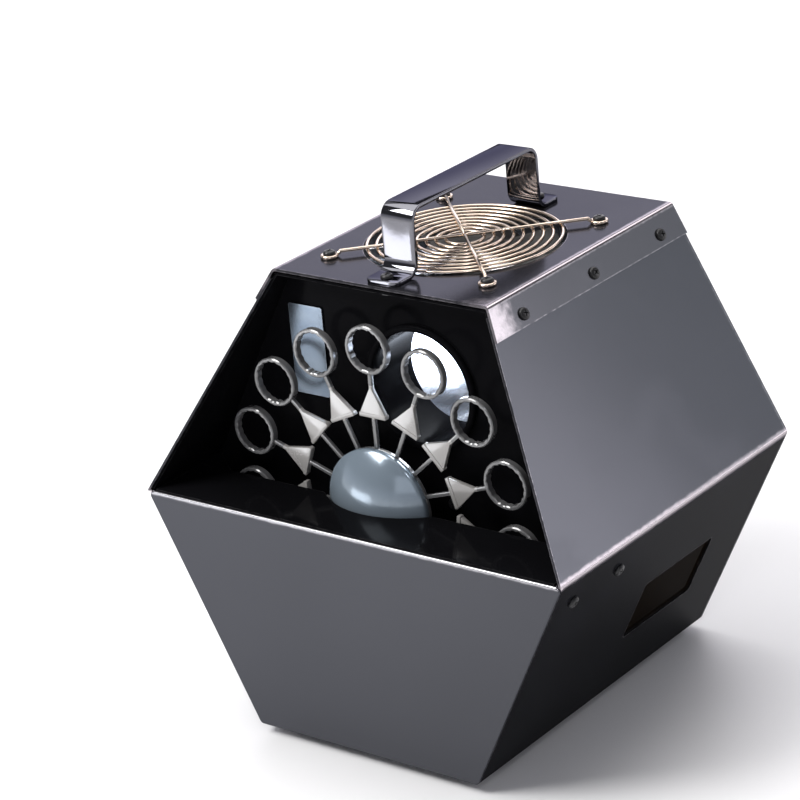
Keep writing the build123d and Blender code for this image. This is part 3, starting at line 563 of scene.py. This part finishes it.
clearLooks = {
    "sightAmber": {
        "colour": (0.007, 0.0042, 0.002), "second": (0.005, 0.003, 0.0015), "driftScale": 18,
        "roughness": (0.06, 0.16), "smudgeScale": 40, "grainScale": 300, "roughen": 0.2, "bump": 0.03,
        "clear": 0.2, "ior": 1.02,
    },
    "fuseGlass": {
        "colour": (0.92, 0.95, 0.97), "second": (0.88, 0.92, 0.95), "driftScale": 60,
        "roughness": (0.03, 0.1), "smudgeScale": 90, "grainScale": 500, "roughen": 0.2, "bump": 0.02,
        "clear": 0.95, "ior": 1.5,
    },
}

finishes = {name: makeFinish(name, look) for name, look in looks.items()}
finishes.update({name: makeClear(name, look) for name, look in clearLooks.items()})
print("stage: finishes made,", len(finishes))

# which finish each part from the frame wears
wornBy = {
    "gunmetalPaint": ["body_wrap", "back_panel"],
    "shadedFrontPaint": ["front_panel"],
    "lightenedCoverPaint": ["top_cover"],
    "glossBlack": ["bay_liner", "bay_wall", "air_duct"],
    "apronBlack": ["drip_apron"],
    "blueZinc": ["access_plate"],
    "polishedAlloy": ["air_scoop", "motor_gearbox"],
    "zincSheet": ["deck_shelf", "motor_bracket", "gear_motor"],
    "tankPlastic": ["fluid_tank"],
    "sightAmber": ["level_window"],
    "wandPlastic": ["wand_wheel"],
    "capPlastic": ["hub_cap"],
    "groundSteel": ["wheel_shaft", "inlet_pins"],
    "turnedBrass": ["shaft_bush", "board_standoffs"],
    "warmWire": ["fan_guard"],
    "mirrorDark": ["handle_strap"],
    "blackZinc": [
        "guard_screws", "handle_screws", "bracket_screws", "cover_screws", "side_screws", "back_screws",
        "handle_nuts",
    ],
    "mouldedBlack": [
        "fan_frame", "fan_stator", "fan_rotor", "switch_body", "mains_inlet", "fuse_drawer", "board_parts",
    ],
    "footRubber": ["rubber_feet"],
    "rockerPlastic": ["switch_rocker"],
    "fuseGlass": ["fuse"],
    "boardMask": ["driver_board"],
}
for finish, parts in wornBy.items():
    for part in parts:
        nodes[part].data.materials.clear()
        nodes[part].data.materials.append(finishes[finish])


# mesh helpers

def toMesh(bm, name="scratch"):
    mesh = bpy.data.meshes.new(name)
    bm.to_mesh(mesh)
    bm.free()
    return mesh


def stamp(bm, mesh, place):
    # adds a copy of a mesh, moved to its place
    single = bmesh.new()
    single.from_mesh(mesh)
    single.transform(place)
    bm.from_mesh(toMesh(single))


def skin(bm, rows):
    # joins rows of points and closes both ends
    for first, second in zip(rows, rows[1:]):
        bridge(bm, first, second)
    bm.faces.new(rows[0])
    bm.faces.new(rows[-1])


def ring(bm, points):
    return [bm.verts.new(p) for p in points]


def bridge(bm, first, second):
    # faces between two closed rows, which may narrow to a point
    for i in range(len(first)):
        j = (i + 1) % len(first)
        corners = [first[i], first[j], second[j], second[i]]
        corners = [v for k, v in enumerate(corners) if v not in corners[:k]]
        if len(corners) > 2:
            bm.faces.new(corners)


def turned(bm, profile, centre, axis, steps, closed=False):
    # (radius, along) points spun round an axis through the centre
    axis, centre = Vector(axis).normalized(), Vector(centre)
    side = axis.orthogonal().normalized()
    other = axis.cross(side)
    turns = [k * math.tau / steps for k in range(steps)]
    rows = []
    for radius, along in profile:
        middle = centre + axis * float(along)
        if radius < 1e-7:
            rows.append([bm.verts.new(middle)] * steps)
            continue
        rows.append(ring(bm, [
            middle + float(radius) * (math.cos(t) * side + math.sin(t) * other) for t in turns
        ]))
    for first, second in zip(rows, rows[1:] + rows[:1] if closed else rows[1:]):
        bridge(bm, first, second)


def arcPoints(middle, radius, start, end, count):
    # points on an arc, angles in degrees
    return [
        (middle[0] + radius * math.cos(math.radians(t)), middle[1] + radius * math.sin(math.radians(t)))
        for t in np.linspace(start, end, count)
    ]


def addPiece(name, bm, finish, body, stands, sharp=35):
    bmesh.ops.recalc_face_normals(bm, faces=bm.faces)
    mesh = toMesh(bm, name)
    mesh.shade_smooth()
    mesh.set_sharp_from_angle(angle=math.radians(sharp))
    mesh.materials.append(finishes[finish])
    piece = link(bpy.data.objects.new(name, mesh))
    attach(piece, body)
    if stands:
        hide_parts(*stands)


def combined(operation, first, second):
    # boolean of two bmeshes, returned as a new one
    parts = []
    for bm in (first, second):
        bmesh.ops.recalc_face_normals(bm, faces=bm.faces)
        parts.append(link(bpy.data.objects.new("scratch", toMesh(bm))))
    cutter = parts[0].modifiers.new("cut", "BOOLEAN")
    cutter.operation, cutter.object, cutter.solver = operation, parts[1], "EXACT"
    joined = parts[0].evaluated_get(bpy.context.evaluated_depsgraph_get())
    made = bmesh.new()
    made.from_mesh(bpy.data.meshes.new_from_object(joined))
    for part in parts:
        bpy.data.objects.remove(part)
    return made


def looseSolids(node):
    # points of each separate solid in a node of the frame
    bm = bmesh.new()
    bm.from_mesh(nodes[node].data)
    bmesh.ops.remove_doubles(bm, verts=bm.verts, dist=1e-6)
    seen, found = set(), []
    for first in bm.verts:
        if first in seen:
            continue
        seen.add(first)
        stack, solid = [first], []
        while stack:
            vert = stack.pop()
            solid.append(vert.co.copy())
            around = [edge.other_vert(vert) for edge in vert.link_edges]
            fresh = [other for other in around if other not in seen]
            seen.update(fresh)
            stack += fresh
        found.append(np.array(solid))
    bm.free()
    return sorted(found, key=lambda points: tuple(np.round(points.mean(0), 5)))


# screws: one pan head with a cross recess, set wherever the frame has a head

screwHead = {
    "radius": 0.0038, "high": 0.0022, "steps": 28, "shankMost": 0.003, "firstTurn": 17, "turnStep": 47,
    "slotLong": 0.0044, "slotWide": 0.00095, "slotDeep": 0.0013, "above": 0.001,
    # outline as shares of radius and height
    "crown": ((0.97, 0), (1, 0.08), (1, 0.3), (0.96, 0.52), (0.87, 0.74), (0.72, 0.9), (0.5, 0.98)),
    # the slot at its floor and above the head: share of its size, and of its width once more
    "slotFloor": (0.72, 0.7), "slotMouth": (1.05, 1.2),
}
insidePoint = np.array((0, 0, 0.15))  # every head faces away from here


def screwMesh():
    r, h = screwHead["radius"], screwHead["high"]
    head = bmesh.new()
    profile = [(0, 0)] + [(r * x, h * z) for x, z in screwHead["crown"]] + [(0, h)]
    turned(head, profile, (0, 0, 0), (0, 0, 1), screwHead["steps"])
    long, wide = screwHead["slotLong"] / 2, screwHead["slotWide"] / 2
    outline = ((-long, -wide), (long, -wide), (long, wide), (-long, wide))
    levels = (
        (h - screwHead["slotDeep"], screwHead["slotFloor"]), (h + screwHead["above"], screwHead["slotMouth"]),
    )
    for turn in (0, 90):
        cutter = bmesh.new()
        verts = ring(cutter, [
            (x * share, y * share * narrow, z) for z, (share, narrow) in levels for x, y in outline
        ])
        skin(cutter, [verts[:4], verts[4:]])
        cutter.transform(Matrix.Rotation(math.radians(turn), 4, "Z"))
        head = combined("DIFFERENCE", head, cutter)
    return toMesh(head, "screwHead")


headMesh = screwMesh()


def setHeads(name, places, stands):
    # places: seat point and outward direction
    bm = bmesh.new()
    for number, (seat, outward) in enumerate(places):
        turn = Vector(outward).to_track_quat("Z", "Y").to_matrix().to_4x4()
        spin = math.radians(screwHead["firstTurn"] + screwHead["turnStep"] * number)
        stamp(bm, headMesh, Matrix.Translation(seat) @ turn @ Matrix.Rotation(spin, 4, "Z"))
    addPiece(name, bm, "blackZinc", "casing", stands)


def headPlaces(node):
    places = []
    for points in looseSolids(node):
        centre = (points.max(0) + points.min(0)) / 2
        flat = points - points.mean(0)
        axis = np.linalg.eigh(flat.T @ flat)[1][:, 0]
        if axis @ (centre - insidePoint) < 0:
            axis = -axis
        places.append((Vector(points.mean(0) + axis * (flat @ axis).min()), Vector(axis)))
    return places


def handleSeats():
    # these screws have shanks, so a head is what lies wide of the shank
    places = []
    for points in looseSolids("handle_screws"):
        apart = np.linalg.norm(points[:, :2] - points[:, :2].mean(0), axis=1)
        head = points[apart > screwHead["shankMost"]]
        places.append((Vector((*head[:, :2].mean(0), head[:, 2].min())), Vector((0, 0, 1))))
    return places


screwSets = {
    "guard_screws": "guardScrews", "cover_screws": "coverScrews", "side_screws": "sideScrews",
    "back_screws": "backScrews", "bracket_screws": "bracketScrews",
}
for node, name in screwSets.items():
    setHeads(name, headPlaces(node), (node,))
setHeads("handleScrews", handleSeats(), ("handle_screws",))
print("stage: screws set")


# wand wheel

wheel = {
    "wands": 15, "first": 42.0, "pitch": 0.0965,
    "ringOuter": 0.015, "ringInner": 0.0124, "ringWide": 0.005, "ringSoft": 0.0006, "ribDeep": 0.0004,
    "ringSteps": 72, "ribEvery": 4,
    "web": 0.003, "stem": 0.0024, "stemSoft": 0.0005, "intoHub": 0.002, "intoRing": 0.0012,
    "wedgeInner": 0.057, "wedgeOuter": 0.074, "wedgeHalf": 0.0095, "wedgeSoft": 0.0004, "intoBar": 0.001,
    "bar": 0.0026, "barProud": 0.0005, "barSoft": 0.0006,
    "hub": 0.035, "boss": 0.008, "bossLong": 0.0115, "discSoft": 0.0006, "fillet": 0.002, "bore": 0.00305,
    "discSteps": 80,
}


def wandRing(bm):
    # rounded ring, ribbed on its inside to hold the film
    half, soft, outer = wheel["ringWide"] / 2, wheel["ringSoft"], wheel["ringOuter"]
    rows = []
    for k in range(wheel["ringSteps"]):
        turn = k * math.tau / wheel["ringSteps"]
        rib = wheel["ribDeep"] if k % wheel["ribEvery"] < wheel["ribEvery"] / 2 else 0.0
        inner = wheel["ringInner"] + rib
        section = [
            (inner + soft, -half), (outer - soft, -half), (outer, -half + soft), (outer, half - soft),
            (outer - soft, half), (inner + soft, half), (inner, half - soft), (inner, -half + soft),
        ]
        rows.append(ring(bm, [
            (wheel["pitch"] + r * math.cos(turn), y, r * math.sin(turn)) for r, y in section
        ]))
    for first, second in zip(rows, rows[1:] + rows[:1]):
        bridge(bm, first, second)


def wandPlate(outline, thick, soft):
    # flat part of a wand, outline (out from the middle, across), softened along its edges
    bm = bmesh.new()
    skin(bm, [ring(bm, [(out, y, across) for out, across in outline]) for y in (-thick / 2, thick / 2)])
    bmesh.ops.bevel(bm, geom=bm.edges[:], offset=soft, segments=2, affect="EDGES", profile=0.6)
    return bm


def boxOutline(start, end, half):
    return [(start, -half), (end, -half), (end, half), (start, half)]


def wandMesh():
    # one wand along X: ring, stem, wedge and the bar at the wedge's foot
    wand = bmesh.new()
    wandRing(wand)
    start, end = wheel["hub"] - wheel["intoHub"], wheel["pitch"] - wheel["ringOuter"] + wheel["intoRing"]
    inner, wide = wheel["wedgeInner"], wheel["wedgeHalf"]
    foot, barThick = inner - wheel["intoBar"], wheel["web"] + 2 * wheel["barProud"]
    for outline, thick, soft in (
        (boxOutline(start, end, wheel["stem"] / 2), wheel["stem"], wheel["stemSoft"]),
        ([(foot, -wide), (wheel["wedgeOuter"], 0), (foot, wide)], wheel["web"], wheel["wedgeSoft"]),
        (boxOutline(inner - wheel["bar"], inner, wide), barThick, wheel["barSoft"]),
    ):
        wand = combined("UNION", wand, wandPlate(outline, thick, soft))
    return toMesh(wand, "wand")


def makeWheel():
    wand = wandMesh()
    bm = bmesh.new()
    for k in range(wheel["wands"]):
        angle = wheel["first"] + k * 360 / wheel["wands"]
        stamp(bm, wand, Matrix.Rotation(math.radians(-angle), 4, "Y"))
    half, hub, boss, long = wheel["web"] / 2, wheel["hub"], wheel["boss"], wheel["bossLong"]
    soft, fillet = wheel["discSoft"], wheel["fillet"]
    disc = [
        (0, -half), (hub - soft, -half), (hub, -half + soft), (hub, half - soft), (hub - soft, half),
        (boss + fillet, half), (boss, half + fillet), (boss, long - soft), (boss - soft, long),
        (wheel["bore"], long),
    ]
    turned(bm, disc, (0, 0, 0), (0, 1, 0), wheel["discSteps"])
    bm.transform(Matrix.Translation(wheelCentre))
    addPiece("wandWheel", bm, "wandPlastic", "wheel", ("wand_wheel",), 30)


# cap over the hub: a shallow dome on a short rim

cap = {
    "rim": 0.0035, "rimSoft": 0.0006, "seat": 0.003, "domeShare": 0.985, "domeSteps": 28, "steps": 96,
    "shoulder": ((0.0001, 0.0002), (0, 0.0008)),  # in from the side, down from the rim
}


def makeHubCap():
    low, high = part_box("hub_cap")
    half = (high.x - low.x) / 2
    rim, soft = cap["rim"], cap["rimSoft"]
    rise = high.y - low.y - rim
    radius = (half ** 2 + rise ** 2) / (2 * rise)
    reach = math.asin(half / radius) * cap["domeShare"]
    profile = [
        (radius * math.sin(t), rim + rise - radius * (1 - math.cos(t)))
        for t in np.linspace(0, reach, cap["domeSteps"])
    ]
    profile += [(half - inward, rim - down) for inward, down in cap["shoulder"]]
    profile += [(half, soft), (half - soft, 0), (half - cap["seat"], 0), (0, 0)]
    bm = bmesh.new()
    turned(bm, profile, ((low.x + high.x) / 2, high.y, (low.z + high.z) / 2), (0, -1, 0), cap["steps"])
    addPiece("hubCap", bm, "capPlastic", "wheel", ("hub_cap",), 50)


makeWheel()
makeHubCap()
print("stage: wheel made")


# finger guard of round wire

guard = {
    "wire": 0.0011, "rings": 9, "step": 0.0058, "outer": 0.0576, "eye": 0.0044, "steps": 96, "eyeSteps": 28,
    "rodSteps": 12,
    # arms: height over the rings in wires, room for the bend, and how far ends reach in or stop short
    "lift": 1.9, "bendOut": 0.0015, "lap": 0.0008, "short": 0.001,
}


def tubeRing(bm, centre, radius, wire, axis, steps):
    section = [(radius + x, y) for x, y in arcPoints((0, 0), wire, 0, 315, 8)]
    turned(bm, section, centre, axis, steps, closed=True)


def rod(bm, start, end, radius, steps):
    # round rod with its end edges taken off
    start, end = Vector(start), Vector(end)
    long = (end - start).length
    face, edge = radius * 0.7, radius * 0.4
    profile = [(0, 0), (face, 0), (radius, edge), (radius, long - edge), (face, long), (0, long)]
    turned(bm, profile, start, end - start, steps)


def makeGuard():
    low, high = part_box("fan_guard")
    wire, up = guard["wire"], Vector((0, 0, 1))
    middle = (low + high) / 2
    middle.z = low.z + wire
    bm = bmesh.new()
    for k in range(guard["rings"]):
        tubeRing(bm, middle, guard["outer"] - k * guard["step"], wire, up, guard["steps"])
    eyes = [Vector((seat.x, seat.y, middle.z)) for seat, outward in headPlaces("guard_screws")]
    for eye in eyes:
        tubeRing(bm, eye, guard["eye"], wire, up, guard["eyeSteps"])
    # an arm over the rings to each eye, and its bend down to the eye
    raised = up * (guard["lift"] * wire)
    for eye in eyes:
        inward = (middle - eye).normalized()
        near = eye + inward * (guard["eye"] + guard["bendOut"]) + raised
        rod(bm, near, middle + raised - inward * guard["short"], wire, guard["rodSteps"])
        rod(bm, eye + inward * guard["eye"], near + inward * guard["lap"], wire, guard["rodSteps"])
    addPiece("fanGuard", bm, "warmWire", "casing", ("fan_guard",), 60)


makeGuard()
print("stage: guard made")


# strap handle, softly rounded along its edges

strap = {
    "thick": 0.0025, "bend": 0.009, "foot": 0.02, "soft": 0.0007, "corner": 0.005, "bendSteps": 10,
    "footSteps": (0.0, 0.0006, 0.0015, 0.003, 0.005),
}


def strapPath(low, high):
    # middle line of the strap in the upright plane, foot to foot
    t = strap["thick"]
    middle = strap["bend"] - t / 2
    foot = low.z + t / 2
    top = high.z - t / 2
    legFront = low.y + strap["foot"] + t / 2
    legBack = high.y - strap["foot"] - t / 2
    path = [(low.y + d, foot) for d in strap["footSteps"]]
    for cy, cz, start, end in (
        (legFront - middle, foot + middle, -90, 0), (legFront + middle, top - middle, 180, 90),
        (legBack - middle, top - middle, 90, 0), (legBack + middle, foot + middle, 180, 270),
    ):
        path += arcPoints((cy, cz), middle, start, end, strap["bendSteps"])
    return path + [(high.y - d, foot) for d in reversed(strap["footSteps"])]


def makeHandle():
    low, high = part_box("handle_strap")
    path = strapPath(low, high)
    half, t, soft, corner = (high.x - low.x) / 2, strap["thick"] / 2, strap["soft"], strap["corner"]
    middleX = (high.x + low.x) / 2
    bm = bmesh.new()
    rows = []
    for k, (y, z) in enumerate(path):
        before, after = path[max(k - 1, 0)], path[min(k + 1, len(path) - 1)]
        along = Vector((after[0] - before[0], after[1] - before[1])).normalized()
        normal = Vector((-along.y, along.x))
        toEnd = min(y - low.y, high.y - y)
        wide = half
        if toEnd < corner:
            wide = half - corner + math.sqrt(max(corner ** 2 - (corner - toEnd) ** 2, 0))
        section = []
        for sx, sn, turn in ((1, 1, 0), (-1, 1, 90), (-1, -1, 180), (1, -1, 270)):
            section += arcPoints((sx * (wide - soft), sn * (t - soft)), soft, turn, turn + 90, 4)
        rows.append(ring(bm, [
            (middleX + x, y + n * normal.x, z + n * normal.y) for x, n in section
        ]))
    skin(bm, rows)
    addPiece("handleStrap", bm, "mirrorDark", "casing", ("handle_strap",), 40)


makeHandle()
print("stage: handle made")


# fan rotor with cambered blades

rotor = {
    "blades": 7, "thick": 0.0014, "camber": 0.0016, "pitch": (34, 27), "chord": (0.019, 0.031),
    "edgeLeast": 0.02, "bladeRows": 9, "bladeSteps": 9, "tipGap": 0.0003, "intoHub": 0.001,
    "hub": 0.024, "hubEdge": 0.0025, "hubWall": 0.002, "roof": 0.003,
    "dimple": 0.008, "dimpleFloor": 0.006, "dimpleDeep": 0.0006,
    "sleeve": 0.005, "sleeveFoot": 0.011, "shaft": 0.0021, "shaftTop": 0.004,
    "hubSteps": 72, "hollowSteps": 48,
}


def bladeSection(chord):
    # (along, up) points round a cambered blade, thinner at its edges
    section = []
    for side in (1, -1):
        for u in np.linspace(-1, 1, rotor["bladeSteps"])[::side]:
            bulge = rotor["camber"] * (1 - u * u)
            full = rotor["thick"] / 2 * math.sqrt(max(1 - u ** 4, rotor["edgeLeast"]))
            section.append((u * chord / 2, bulge + side * full))
    return section


def between(ends, share):
    # from root to tip
    return ends[0] + share * (ends[1] - ends[0])


def makeRotor():
    low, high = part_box("fan_rotor")
    centre = Vector(joints["fan_spin"]["pos_m"])
    tip = (high.x - low.x) / 2 - rotor["tipGap"]
    hub, edge, inside = rotor["hub"], rotor["hubEdge"], rotor["hub"] - rotor["hubWall"]
    dimpleZ, roof, neck = high.z - rotor["dimpleDeep"], high.z - rotor["roof"], low.z + rotor["sleeveFoot"]
    sleeve, shaft, shaftTop = rotor["sleeve"], rotor["shaft"], high.z - rotor["shaftTop"]
    root, middleZ = hub - rotor["intoHub"], (low.z + high.z) / 2
    bm = bmesh.new()
    outside = [(inside, low.z), (hub, low.z)] + arcPoints((hub - edge, high.z - edge), edge, 0, 90, 7)
    outside += [(rotor["dimple"], high.z), (rotor["dimpleFloor"], dimpleZ), (0, dimpleZ)]
    turned(bm, outside, (centre.x, centre.y, 0), (0, 0, 1), rotor["hubSteps"])
    hollow = [(inside, low.z), (inside, roof), (sleeve, roof), (sleeve, neck), (shaft, neck)]
    hollow += [(shaft, shaftTop), (0, shaftTop)]
    turned(bm, hollow, (centre.x, centre.y, 0), (0, 0, 1), rotor["hollowSteps"])
    for blade in range(rotor["blades"]):
        turn = math.tau * blade / rotor["blades"]
        rows = []
        for s in np.linspace(0, 1, rotor["bladeRows"]):
            radius = root + s * (tip - root)
            pitch = math.radians(between(rotor["pitch"], s))
            points = []
            for a, n in bladeSection(between(rotor["chord"], s)):
                at = turn + (a * math.cos(pitch) - n * math.sin(pitch)) / radius
                up = a * math.sin(pitch) + n * math.cos(pitch)
                x, y = centre.x + radius * math.cos(at), centre.y + radius * math.sin(at)
                points.append((x, y, middleZ + up))
            rows.append(ring(bm, points))
        skin(bm, rows)
    addPiece("fanRotor", bm, "mouldedBlack", "rotor", ("fan_rotor",), 40)


makeRotor()
print("stage: rotor made")


# air duct with a rolled mouth

duct = {"outer": 0.036, "wall": 0.0012, "lip": 0.003, "lead": 0.001, "ease": 0.0003, "steps": 96}


def makeDuct():
    low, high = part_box("air_duct")
    centre = ((low.x + high.x) / 2, low.y, (low.z + high.z) / 2)
    long = high.y - low.y
    outer, lip, lead, ease = duct["outer"], duct["lip"], duct["lead"], duct["ease"]
    inner = outer - duct["wall"]
    profile = arcPoints((outer + lip / 2, lip / 2), lip / 2, 0, -90, 6)
    profile += [(inner + lead, 0), (inner + ease, ease), (inner, lead)]
    profile += [(inner, lead + (long - lead) * s) for s in np.linspace(0, 1, 8)[1:]]
    profile += [(outer, long), (outer, lip), (outer + lip, lip)]
    bm = bmesh.new()
    turned(bm, profile, centre, (0, 1, 0), duct["steps"], closed=True)
    addPiece("airDuct", bm, "glossBlack", "casing", ("air_duct",), 45)


makeDuct()


# rubber feet, each with its screw in a recess

foot = {"flare": 0.0006, "soft": 0.0008, "recess": 0.0046, "deep": 0.003, "steps": 48}


def makeFeet():
    bm = bmesh.new()
    seats = []
    small, soft, deep = foot["recess"], foot["soft"], foot["deep"]
    for points in looseSolids("rubber_feet"):
        low, high = points.min(0), points.max(0)
        radius, tall = (high[0] - low[0]) / 2, high[2] - low[2]
        tread = radius - soft - foot["flare"]
        profile = [(0, deep), (small, deep), (small, soft), (small + soft, 0), (tread, 0)]
        profile += arcPoints((tread, soft), soft, -60, 0, 4) + [(radius, tall), (0, tall)]
        centre = ((low[0] + high[0]) / 2, (low[1] + high[1]) / 2, low[2])
        turned(bm, profile, centre, (0, 0, 1), foot["steps"])
        seats.append((Vector((centre[0], centre[1], low[2] + deep)), Vector((0, 0, -1))))
    addPiece("rubberFeet", bm, "footRubber", "casing", ("rubber_feet",), 40)
    setHeads("footScrews", seats, ())


makeFeet()
print("stage: duct and feet made")


# floor

def makeFloor():
    material, tree, shader = newMaterial("paleFloor")
    drift = placeGroup(tree, "drift", Scale=floorSetup["driftScale"])
    tint = mixColour(tree, drift["Mask"], floorSetup["colour"], floorSetup["fleck"])
    tree.links.new(tint, shader.inputs["Base Color"])
    low, high = floorSetup["roughness"]
    smudge = placeGroup(tree, "smudge", Scale=floorSetup["smudgeScale"], Low=low, High=high)
    tree.links.new(smudge["Roughness"], shader.inputs["Roughness"])
    # the floor's far part glows a little, as a lit backdrop does
    away = addNode(tree, "VectorMath", operation="LENGTH")
    tree.links.new(addNode(tree, "TexCoord").outputs["Object"], away.inputs[0])
    far = rampNode(tree, away.outputs["Value"], floorSetup["glowFrom"], floorSetup["glowTo"])
    glow = mixColour(tree, far, (0.0, 0.0, 0.0), floorSetup["colour"])
    tree.links.new(glow, shader.inputs["Emission Color"])
    shader.inputs["Emission Strength"].default_value = floorSetup["glow"]
    half = floorSetup["half"]
    bm = bmesh.new()
    bm.faces.new(ring(bm, [(-half, -half, 0), (half, -half, 0), (half, half, 0), (-half, half, 0)]))
    mesh = toMesh(bm, "floor")
    mesh.materials.append(material)
    link(bpy.data.objects.new("floor", mesh))


makeFloor()
addWorld()
addCamera()
for name, setup in softboxes.items():
    addSoftbox(name, *setup)
bpy.context.scene.view_settings.view_transform = "Standard"
print("stage: floor, lights and camera set")

bpy.context.view_layer.update()
